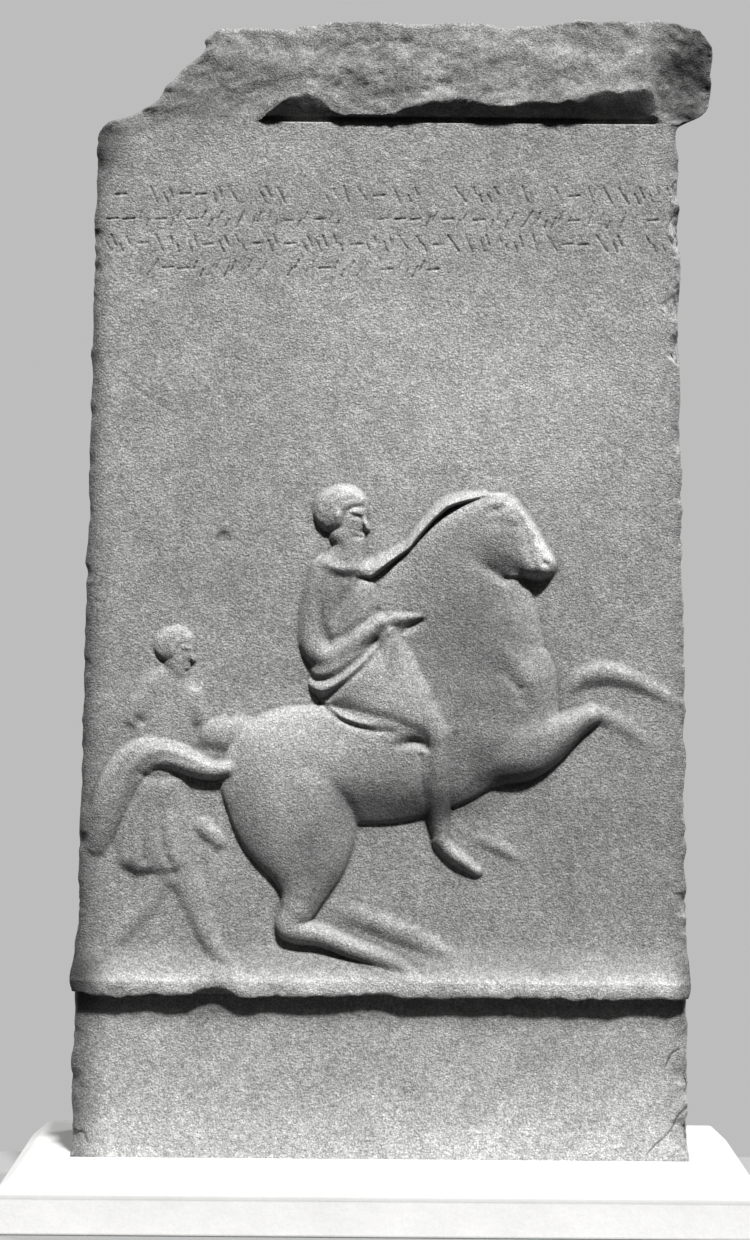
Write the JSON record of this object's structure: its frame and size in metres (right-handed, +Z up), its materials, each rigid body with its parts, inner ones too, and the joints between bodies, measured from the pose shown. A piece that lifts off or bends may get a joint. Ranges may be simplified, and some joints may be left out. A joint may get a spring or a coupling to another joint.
{
  "type": "carved stone stele",
  "caption": "Tapered marble grave stele with a low relief of a rider on a rearing horse above a projecting ledge, a broken cornice on top, standing in the socket of a low plinth",
  "frame": {"origin": "middle of the underside of the plinth", "axes": "+X to the right seen from the carved face, +Y from the carved face to the back, +Z up"},
  "size_m": [0.61, 0.254, 0.964],
  "materials": {
    "marble": "weathered, finely crystalline, matt",
    "plaster": "smooth, matt white"
  },
  "bodies": {
    "root": {"stele": "marble", "plinth": "plaster"}
  },
  "joints": []
}
